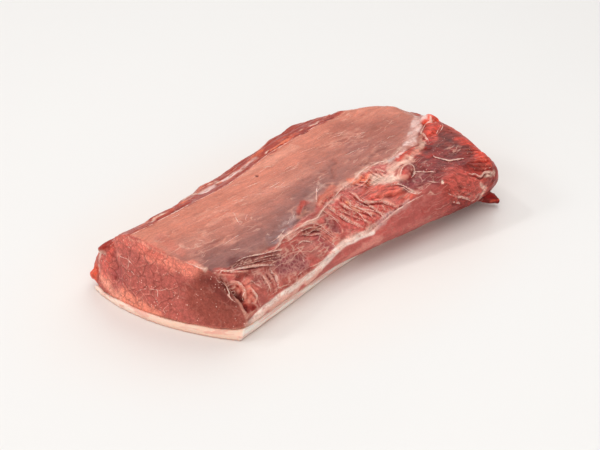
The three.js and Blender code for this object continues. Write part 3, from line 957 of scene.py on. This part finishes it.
def new_finish(name):
    """A new material: itself, its shader and the places on the piece that its patterns are laid on."""
    finish = bpy.data.materials.new(name)
    finish.use_nodes = True
    shader = finish.node_tree.nodes["Principled BSDF"]
    where = brew("ShaderNodeTexCoord", {}, finish.node_tree).outputs["Object"]
    return finish, shader, where


def reading(shader, name, output="Fac"):
    """What was kept for each point of the piece under a name."""
    return brew("ShaderNodeAttribute", {}, shader.id_data, attribute_name=name).outputs[output]


def noise(where, scale, detail=3, rough=0.55, stretch=(1, 1, 1)):
    """Noise with so many lumps to a metre, drawn out along a direction where its stretch is small."""
    spread = brew("ShaderNodeMapping", {"Vector": where, "Scale": stretch}).outputs["Vector"]
    inputs = {"Vector": spread, "Scale": scale, "Detail": detail, "Roughness": rough}
    return brew("ShaderNodeTexNoise", inputs).outputs["Fac"]


def turned(where, *degrees):
    """Places turned about the three axes, for a grain that runs another way."""
    turn = [math.radians(angle) for angle in degrees]
    return brew("ShaderNodeMapping", {"Vector": where, "Rotation": turn}).outputs["Vector"]


def vectors(operation, first, second):
    return brew("ShaderNodeVectorMath", {0: first, 1: second}, operation=operation).outputs[0]


def between(value, low, high, out_low=0.0, out_high=1.0):
    """Turns a value into another range, smoothly."""
    inputs = {"Value": value, 1: low, 2: high, 3: out_low, 4: out_high}
    return brew("ShaderNodeMapRange", inputs, interpolation_type="SMOOTHSTEP").outputs["Result"]


def sums(operation, first, second=0.0):
    return brew("ShaderNodeMath", {0: first, 1: second}, operation=operation).outputs[0]


def plus(first, second):
    return sums("ADD", first, second)


def less(first, second):
    return sums("SUBTRACT", first, second)


def times(first, *others):
    for other in others:
        first = sums("MULTIPLY", first, other)
    return first


def either(share, first, second):
    """The first value where the share is 0, and the second where it is 1."""
    return brew("ShaderNodeMix", {0: share, 2: first, 3: second}).outputs[0]


def mixed(share, first, second, blend="MIX"):
    """The same for two colours."""
    inputs = {0: share, 6: first, 7: second}
    return brew("ShaderNodeMix", inputs, data_type="RGBA", blend_type=blend).outputs[2]


def shade(colour):
    return (*paint(*colour), 1)


def tinted(colour, tone, *masks):
    """A colour with a tone over it, as strongly as its masks say together."""
    return mixed(times(*masks), colour, shade(tone))


def varied(colour, change):
    """A colour made lighter or darker by a share of itself, which is below nothing for darker."""
    share = plus(change, 1.0)
    share = brew("ShaderNodeCombineColor", {0: share, 1: share, 2: share}).outputs[0]
    return mixed(1.0, colour, share, "MULTIPLY")


def silk(value, width):
    """Thin lines where a noise crosses its middle."""
    return between(sums("ABSOLUTE", less(value, 0.5)), 0.0, width, 1, 0)


def cell_walls(where, scale, inner, outer):
    """1 on the walls between cells and 0 inside them, from and to these shares of a cell."""
    inputs = {"Vector": where, "Scale": scale}
    apart = brew("ShaderNodeTexVoronoi", inputs, feature="DISTANCE_TO_EDGE").outputs["Distance"]
    return between(apart, inner, outer, 1, 0)


def bumped(height, strength):
    inputs = {"Strength": strength, "Distance": 0.6 * MM, "Height": height}
    return brew("ShaderNodeBump", inputs).outputs["Normal"]


# The finish of the lean is laid on in layers. Each takes the colour so far, the meat's own readings
# and places, and the list of what stands up from it, and gives the new colour.
def lay_fibres(colour, meat, relief):
    """Fibres along the loin, down the torn side and across the sirloin end, in mottled meat."""
    lengthwise = noise(meat["where"], 330, 4, 0.6, (0.13, 1, 1))
    downward = noise(meat["down"], 480, 4, 0.6, (1, 1, 0.14))
    fibre = between(either(meat["slant"], lengthwise, downward), 0.3, 0.7, -1, 1)
    fibre = times(fibre, meat["streaky"])
    colour = varied(colour, times(fibre, 0.24))
    plain = sums("MAXIMUM", less(less(meat["streaky"], meat["torn"]), meat["ending"]), 0.0)
    hairline = noise(meat["bent"], 760, 2, 0.5, (0.14, 1, 1))
    colour = varied(colour, times(between(hairline, 0.34, 0.66, -0.28, 0.224), plain))
    across = noise(turned(meat["bent"], 0, -18, 44), 560, 3, 0.6, (0.13, 1, 1))
    colour = varied(colour, times(between(across, 0.34, 0.66, -0.26, 0.34), meat["ending"]))
    mottling = between(meat["mottle"], 0.3, 0.7, -0.13, 0.11)
    colour = varied(colour, times(mottling, meat["streaky"]))
    fine = noise(meat["where"], 900, 3, 0.6)
    relief += [(fibre, 0.35), (fine, 0.5), (times(meat["mottle"], meat["torn"]), 1.2)]
    return varied(colour, between(fine, 0.3, 0.7, -0.1, 0.09))


def lay_hollow_shade(colour, meat, relief):
    """Hollows are painted darker and more red as painted shade; crests are paler, partly for connective
    tissue and partly as painted highlight.
    """
    hollow_shade = between(meat["hollow"], 0.02, 0.6, 0, 0.8)
    crest_tissue_and_highlight = between(meat["hollow"], -0.6, -0.06, 0.45, 0)
    hollow_shade_tone = mixed(1.0, colour, shade((172, 74, 68)), "MULTIPLY")
    colour = mixed(hollow_shade, colour, hollow_shade_tone)
    return tinted(colour, (242, 178, 156), crest_tissue_and_highlight, meat["torn"])


def lay_silk(colour, meat, relief):
    """Silky threads: sparse along the silverskin, close together where the meat was torn."""
    where = meat["where"]
    sparse = silk(noise(meat["bent"], 110, 2, 0.6, (0.09, 1, 1)), 0.016)
    sparse = times(sparse, between(noise(where, 70, 3), 0.48, 0.66, 0, 0.8))
    lying = silk(noise(where, 210, 2, 0.5, (0.3, 1, 1)), 0.05)
    slanting = silk(noise(meat["down"], 270, 2, 0.5, (1, 1, 0.16)), 0.04)
    close_set = either(meat["slant"], lying, slanting)
    close_set = times(close_set, between(noise(where, 95, 2), 0.38, 0.6))
    threads = times(either(meat["torn"], sparse, close_set), less(1.0, meat["cut"]))
    relief += [(threads, 0.45)]
    return tinted(colour, (238, 186, 166), threads, 0.6)


def lay_walls(colour, meat, relief):
    """Walls of connective tissue, dark patches and small bubbles between the torn bundles."""
    where = meat["where"]
    coarse = times(meat["torn"], less(1.0, times(meat["slant"], 0.8)))
    walls = between(plus(meat["net"], times(meat["mottle"], 0.3)), 0.16, 0.24, 1, 0)
    walls = times(walls, between(noise(where, 110, 2), 0.45, 0.62))
    colour = tinted(colour, (222, 166, 150), walls, coarse, 0.5)
    patches = between(noise(where, 210, 3), 0.58, 0.72)
    colour = tinted(colour, (140, 52, 44), patches, coarse, 0.3)
    bubbles = cell_walls(meat["bent"], 300, 0.04, 0.2)
    return tinted(colour, (220, 160, 146), bubbles, meat["foam"], 0.35)


def lay_cut(colour, meat, relief):
    """The cut face: fine cracks between bundles painted dark as painted shade, a painted highlight along
    the upper lip of each, grain and white flecks.
    """
    where = meat["where"]
    above = vectors("ADD", meat["bent"], (0, -0.2 * MM, -0.7 * MM))
    crack_highlights = times(cell_walls(above, 145, 0.02, 0.09), between(noise(where, 120, 2), 0.42, 0.58))
    colour = tinted(colour, (246, 166, 146), crack_highlights, meat["celled"], 0.42)
    cracks = cell_walls(meat["bent"], 145, 0.0, 0.12)
    cracks = times(cracks, between(noise(where, 150, 3), 0.35, 0.53), meat["celled"])
    colour = tinted(colour, (128, 48, 41), cracks, 0.6)
    fibre_ends = cell_walls(where, 430, 0.02, 0.14)
    colour = tinted(colour, (132, 52, 44), fibre_ends, meat["cut"], 0.28)
    grain = between(noise(where, 400, 4, 0.7), 0.32, 0.68, -0.17, 0.17)
    colour = varied(colour, times(grain, meat["cut"]))
    flecks = brew("ShaderNodeTexVoronoi", {"Vector": where, "Scale": 480}).outputs["Distance"]
    flecks = times(between(flecks, 0.12, 0.24, 1, 0), between(noise(where, 150, 2), 0.5, 0.62))
    relief += [(cracks, -0.7)]
    return tinted(colour, (252, 206, 190), flecks, meat["cut"], 0.75)


def lay_cords(colour, meat, relief):
    """Pale cords, and painted shade in the gaps, with ragged edges."""
    ragged = between(noise(meat["where"], 500, 3), 0.25, 0.75, -0.5, 0.5)
    gaps = between(plus(meat["dark"], ragged), 0.4, 1.3, 1, 0)
    cords = between(plus(meat["pale"], ragged), 0.45, 1.1, 1, 0)
    relief += [(cords, 0.5)]
    colour = tinted(colour, (132, 46, 40), gaps, 0.42)
    return tinted(colour, (252, 212, 196), cords, 0.66)


def lean_finish():
    """Wet raw meat: its colours with all the layers over them, under a thin wet film."""
    finish, shader, where = new_finish("raw_lean")
    meat = {name: reading(shader, name) for name in KEPT}
    drift = brew("ShaderNodeTexNoise", {"Vector": where, "Scale": 110, "Detail": 2}).outputs["Color"]
    drift = vectors("SUBTRACT", drift, (0.5, 0.5, 0.5))
    meat["bent"] = vectors("ADD", where, vectors("MULTIPLY", drift, (6 * MM, 6 * MM, 6 * MM)))
    meat["where"] = where
    meat["down"] = turned(where, -45, 0, 9)
    meat["mottle"] = noise(where, 130, 4, 0.6)
    colour = reading(shader, "tissue", "Color")
    relief = []
    for layer in (lay_fibres, lay_hollow_shade, lay_silk, lay_walls, lay_cut, lay_cords):
        colour = layer(colour, meat, relief)
    height = times(*relief[0])
    for part, share in relief[1:]:
        height = plus(height, times(part, share))
    fill(shader, {
        "Base Color": colour,
        "Roughness": between(noise(where, 260, 4, 0.6), 0.3, 0.7, 0.32, 0.56),
        "Normal": bumped(height, 0.55),
        "Specular IOR Level": 0.14,
        "Subsurface Weight": 0.08,
        "Subsurface Radius": (1.0, 0.35, 0.25),
        "Subsurface Scale": 2.5 * MM,
        "Coat Weight": 0.17,
        "Coat Roughness": 0.05,
    })
    return finish


def dress(piece, finish):
    """Gives a piece its finish, and shades it smoothly."""
    piece.data.materials.clear()
    piece.data.materials.append(finish)
    for face in piece.data.polygons:
        face.use_smooth = True


dress(lean, lean_finish())
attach(lean, "root")
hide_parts("lean_loin")

# ==== Threads of connective tissue ===============================================================
# White silky threads that were left on the meat where the ribs and the skin of the loin were pulled
# away. Each is a thin tube that lies half sunk in the meat along a drawn line.

# the long ones on the silverskin, each with its radius
LONG_THREADS = [
    ([(-69, 49), (-64, 46), (-64, 40), (-67, 34), (-69, 27)], 0.28),
    ([(-57, 34), (-61, 31), (-63, 28)], 0.25),
    ([(-93, 17), (-86, 18), (-77, 19)], 0.28),
    ([(-92, 10), (-89, 8), (-86, 7)], 0.25),
    ([(-83, 1), (-80, -2), (-77, -2)], 0.3),
    ([(-55, 15), (-48, 16), (-42, 13)], 0.25),
    ([(-92, 42), (-88, 38), (-83, 38)], 0.25),
    ([(-104, 34), (-101, 31), (-99, 28)], 0.25),
    ([(-58, 49), (-45, 51), (-35, 47), (-27, 40)], 0.25),
    ([(-41, 68), (-32, 64)], 0.25),
    ([(-31, 48), (-17, 49), (-10, 50)], 0.25),
    ([(12, 52), (19, 50), (27, 48)], 0.25),
    ([(-24, 64), (-14, 61), (-8, 61)], 0.3),
    ([(2, 28), (-4, 22), (-9, 16)], 0.35),
]
SHORT_THREADS = 46
THREAD_BEND = [(0, 0), (0.35, -0.02), (0.7, -0.1), (1, -0.1)]


def short_threads(count):
    """Short fine threads at random on the silverskin, each bent a little."""
    chance = np.random.default_rng(51)
    drawn = []
    for _ in range(count):
        start = np.array((chance.uniform(-112, 92), chance.uniform(26, 72)))
        reach = chance.uniform(5, 16)
        bent = np.array(THREAD_BEND) * (reach, reach * chance.uniform(-0.8, 1.6))
        path = start + bent + 0.5 * chance.normal(size=bent.shape)
        drawn.append((path, chance.uniform(0.12, 0.2)))
    return drawn


SILVERSKIN_THREADS = LONG_THREADS + short_threads(SHORT_THREADS)
THREADS = EDGES + [("rib", path, radius) for path, radius in SILVERSKIN_THREADS]
LOWEST_THREAD = 0.6


def drawn_threads(name, threads):
    """Every thread as a run of edges on the meat, with its thickness at each point."""
    chance = np.random.default_rng(21)
    ground = tree_of(lean)
    places = []
    edges = []
    thickness = []
    for side, points, radius in threads:
        line, outward = lay(ground, points, side)
        t = np.linspace(0, 1, len(line))
        length = len(line) * LINE_STEP
        waves = 0.35 * np.sin(t * length / chance.uniform(1.6, 4) + chance.uniform(0, 6))
        thick = radius * np.clip(np.sin(math.pi * t), 0.02, 1) ** 0.4 * (0.75 + waves)
        sunk = thick * (0.5 + 0.7 * np.sin(t * length / chance.uniform(3, 8) + chance.uniform(0, 6)))
        edges += [(len(places) + k, len(places) + k + 1) for k in range(len(line) - 1)]
        places += list(line - outward * sunk[:, None])
        thickness += list(thick)
    mesh = bpy.data.meshes.new(name)
    places = np.array(places)
    places[:, 2] = np.maximum(places[:, 2], LOWEST_THREAD)
    mesh.from_pydata(places * MM, edges, [])
    store(mesh, "thickness", np.array(thickness) * MM)
    return link(name, mesh)


def thread_tree(finish):
    """Turns a run of edges into closed tubes."""
    tree = bpy.data.node_groups.new("thread_maker", "GeometryNodeTree")
    face = tree.interface
    face.new_socket("Lines", in_out="INPUT", socket_type="NodeSocketGeometry")
    face.new_socket("Sides", in_out="INPUT", socket_type="NodeSocketInt")
    face.new_socket("Thickness", in_out="INPUT", socket_type="NodeSocketFloat")
    face.new_socket("Threads", in_out="OUTPUT", socket_type="NodeSocketGeometry")
    given = tree.nodes.new("NodeGroupInput")
    thick = brew("GeometryNodeInputNamedAttribute", {"Name": "thickness"}, tree, data_type="FLOAT")
    thick = times(thick.outputs["Attribute"], given.outputs["Thickness"])
    line = brew("GeometryNodeMeshToCurve", {"Mesh": given.outputs["Lines"]}).outputs[0]
    ring = {"Resolution": given.outputs["Sides"], "Radius": 1.0}
    ring = brew("GeometryNodeCurvePrimitiveCircle", ring).outputs["Curve"]
    tube = {"Curve": line, "Profile Curve": ring, "Scale": thick, "Fill Caps": True}
    tube = brew("GeometryNodeCurveToMesh", tube).outputs[0]
    tube = brew("GeometryNodeRealizeInstances", {"Geometry": tube}).outputs[0]
    tube = brew("GeometryNodeSetMaterial", {"Geometry": tube, "Material": finish}).outputs[0]
    result = tree.nodes.new("NodeGroupOutput")
    tree.links.new(tube, result.inputs["Threads"])
    return tree


def grown(piece, tree, sizes):
    """Runs a geometry tree on a piece with its sizes set, and keeps the mesh that it makes."""
    maker = piece.modifiers.new(tree.name, "NODES")
    maker.node_group = tree
    for item in tree.interface.items_tree:
        if item.name in sizes:
            maker[item.identifier] = sizes[item.name]
    settled(piece)


def thread_finish():
    """Wet connective tissue: milky, a little pink where it is thin."""
    finish, shader, where = new_finish("silky_tissue")
    milky = between(noise(where, 180, 3), 0.35, 0.65)
    fill(shader, {
        "Base Color": mixed(milky, shade((230, 150, 134)), shade((255, 216, 202))),
        "Roughness": between(milky, 0, 1, 0.25, 0.4),
        "Subsurface Weight": 0.2,
        "Subsurface Scale": 1.0 * MM,
        "Coat Weight": 0.3,
        "Coat Roughness": 0.1,
    })
    return finish


threads = drawn_threads("silky_threads", THREADS)
silky_tissue = thread_finish()
grown(threads, thread_tree(silky_tissue), {"Sides": 6, "Thickness": 1.0})
dress(threads, silky_tissue)
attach(threads, "root")

# ==== The fat cap ================================================================================
# A slab of firm back fat under the whole loin, trimmed flush at the cut end: cream, whiter at the front
# and, as painted light, on its near side; pinker at its rim, with faint layers at its sides. It is grown
# onto the lean.

FAT_GRAIN = 1.0
skin_over(fat, FAT_GRAIN)
fat_spots = numbers(fat.data, "co") / MM
fat_facing = numbers(fat.data, "normal")
fat_rise = 0.35 * clouds(fat_spots, (14, 8, 5), 61) + 0.2 * clouds(fat_spots, (5, 4, 2), 62)
fat_rise *= step(0.3, 2.0, fat_spots[:, 2])
fat_rise += 1.4 * step(0.2, 0.7, -fat_facing[:, 0]) * step(8, 2, fat_spots[:, 2])
raise_skin(fat, fat_spots, fat_facing, fat_rise)
cream = np.tile(paint(*CREAM_FAT), (len(fat_spots), 1))
whiter = step(-30, 20, fat_spots[:, 1]) * step(-90, -120, fat_spots[:, 0])
cream += (paint(255, 222, 206) - cream) * whiter[:, None]
# painted light: the near side faces down and away from the lamps, so it is painted near white
near_side_painted_light = step(0.5, 0.8, -fat_facing[:, 1])
cream += (paint(255, 240, 230) - cream) * near_side_painted_light[:, None]
pinker = np.exp(-(((fat_spots[:, 2] - 2.6 - 0.8 * clouds(fat_spots, 14, 63)) / 0.9) ** 2))
pinker *= step(0.3, -0.3, fat_facing[:, 2]) * step(-0.5, 0.3, clouds(fat_spots, 22, 64))
pinker = np.maximum(pinker, 0.8 * step(1.4, 0.4, fat_spots[:, 2])) * (1 - 0.7 * near_side_painted_light)
cream += (paint(238, 152, 136) - cream) * (0.75 * pinker)[:, None]
store(fat.data, "fat_colour", cream)


def fat_finish():
    """Firm fat: cream with pink blotches, drawn out along the loin, and a soft wet shine."""
    finish, shader, where = new_finish("back_fat")
    layers = noise(where, 330, 3, 0.5, (0.12, 0.25, 1.3))
    colour = reading(shader, "fat_colour", "Color")
    colour = mixed(between(layers, 0.5, 0.62, 0, 0.55), colour, shade((228, 158, 142)))
    colour = mixed(between(noise(where, 60, 3), 0.5, 0.7, 0, 0.35), colour, shade((246, 226, 210)))
    fill(shader, {
        "Base Color": colour,
        "Roughness": between(layers, 0.3, 0.7, 0.38, 0.55),
        "Normal": bumped(layers, 0.4),
        "Subsurface Weight": 0.45,
        "Subsurface Radius": (1.0, 0.6, 0.5),
        "Subsurface Scale": 3.0 * MM,
    })
    return finish


dress(fat, fat_finish())
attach(fat, "root")
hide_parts("fat_cap")

# ==== The studio =================================================================================
# A pale table in a white room: a broad soft box overhead, bright walls behind, two small windows for
# the wet glints, weak fills in front, and a long lens that looks down on the cut end.

TABLE_HALF = 3.0
table_mesh = bpy.data.meshes.new("table_top")
corners = [(a * TABLE_HALF, b * TABLE_HALF, 0) for a, b in ((-1, -1), (1, -1), (1, 1), (-1, 1))]
table_mesh.from_pydata(corners, [], [(0, 1, 2, 3)])
table = link("table_top", table_mesh)


def table_finish():
    """Smooth pale paint, with a painted warm bounce of light from the red meat round where it lies."""
    finish, shader, where = new_finish("pale_table")
    place = brew("ShaderNodeMapping", {"Vector": where, "Scale": (5.2, 8.0, 1)}).outputs["Vector"]
    away = brew("ShaderNodeVectorMath", {0: place}, operation="LENGTH").outputs["Value"]
    meat_bounce = between(away, 0.7, 1.3, 0.6, 0)
    fill(shader, {
        "Base Color": mixed(meat_bounce, shade((230, 230, 229)), shade((234, 226, 220))),
        "Roughness": 0.45,
        "Coat Weight": 0.15,
        "Coat Roughness": 0.15,
    })
    return finish


table.data.materials.append(table_finish())

white_room = bpy.data.worlds.new("white_room")
white_room.use_nodes = True
fill(white_room.node_tree.nodes["Background"], {"Color": (1, 0.925, 0.89, 1), "Strength": 0.45})
scene.world = white_room

AIM = Vector((0.0084, 0.0072, 0))


def place_round(name, thing, turn, climbing, distance):
    """Puts a lamp or a lens so far from the loin, at a turn and a climb in degrees, facing it."""
    turn = math.radians(turn)
    climbing = math.radians(climbing)
    flat = math.cos(climbing)
    back = Vector((math.sin(turn) * flat, -math.cos(turn) * flat, math.sin(climbing)))
    holder = bpy.data.objects.new(name, thing)
    holder.location = AIM + back * distance
    holder.rotation_euler = back.to_track_quat("Z", "Y").to_euler()
    scene.collection.objects.link(holder)
    return holder


def softbox(name, turn, climbing, distance, size, power, tint=(1, 0.99, 0.98)):
    lamp = bpy.data.lights.new(name, "AREA")
    lamp.shape = "DISK"
    lamp.size = size
    lamp.energy = power
    lamp.color = tint
    place_round(name, lamp, turn, climbing, distance)


softbox("ceiling_box", 115, 84, 1.9, 2.4, 15.6, (0.97, 1, 1))
softbox("back_wall", 105, 45, 8.0, 5.6, 112, (0.97, 1, 1))
softbox("far_wall", 135, 38, 7.0, 4.4, 30, (0.97, 1, 1))
softbox("window", -130, 35, 1.8, 0.4, 5.2)
softbox("small_window", -160, 50, 1.8, 0.2, 3.4)
softbox("fill", -66, 26, 2.2, 1.3, 9.4, (1, 0.97, 0.95))
softbox("front_fill", -16, 20, 3.0, 1.6, 9, (1, 0.89, 0.84))

lens = bpy.data.cameras.new("long_lens")
lens.lens = 85
lens.sensor_width = 36
scene.camera = place_round("long_lens", lens, -44, 32, 1.0)
scene.view_settings.view_transform = "Standard"
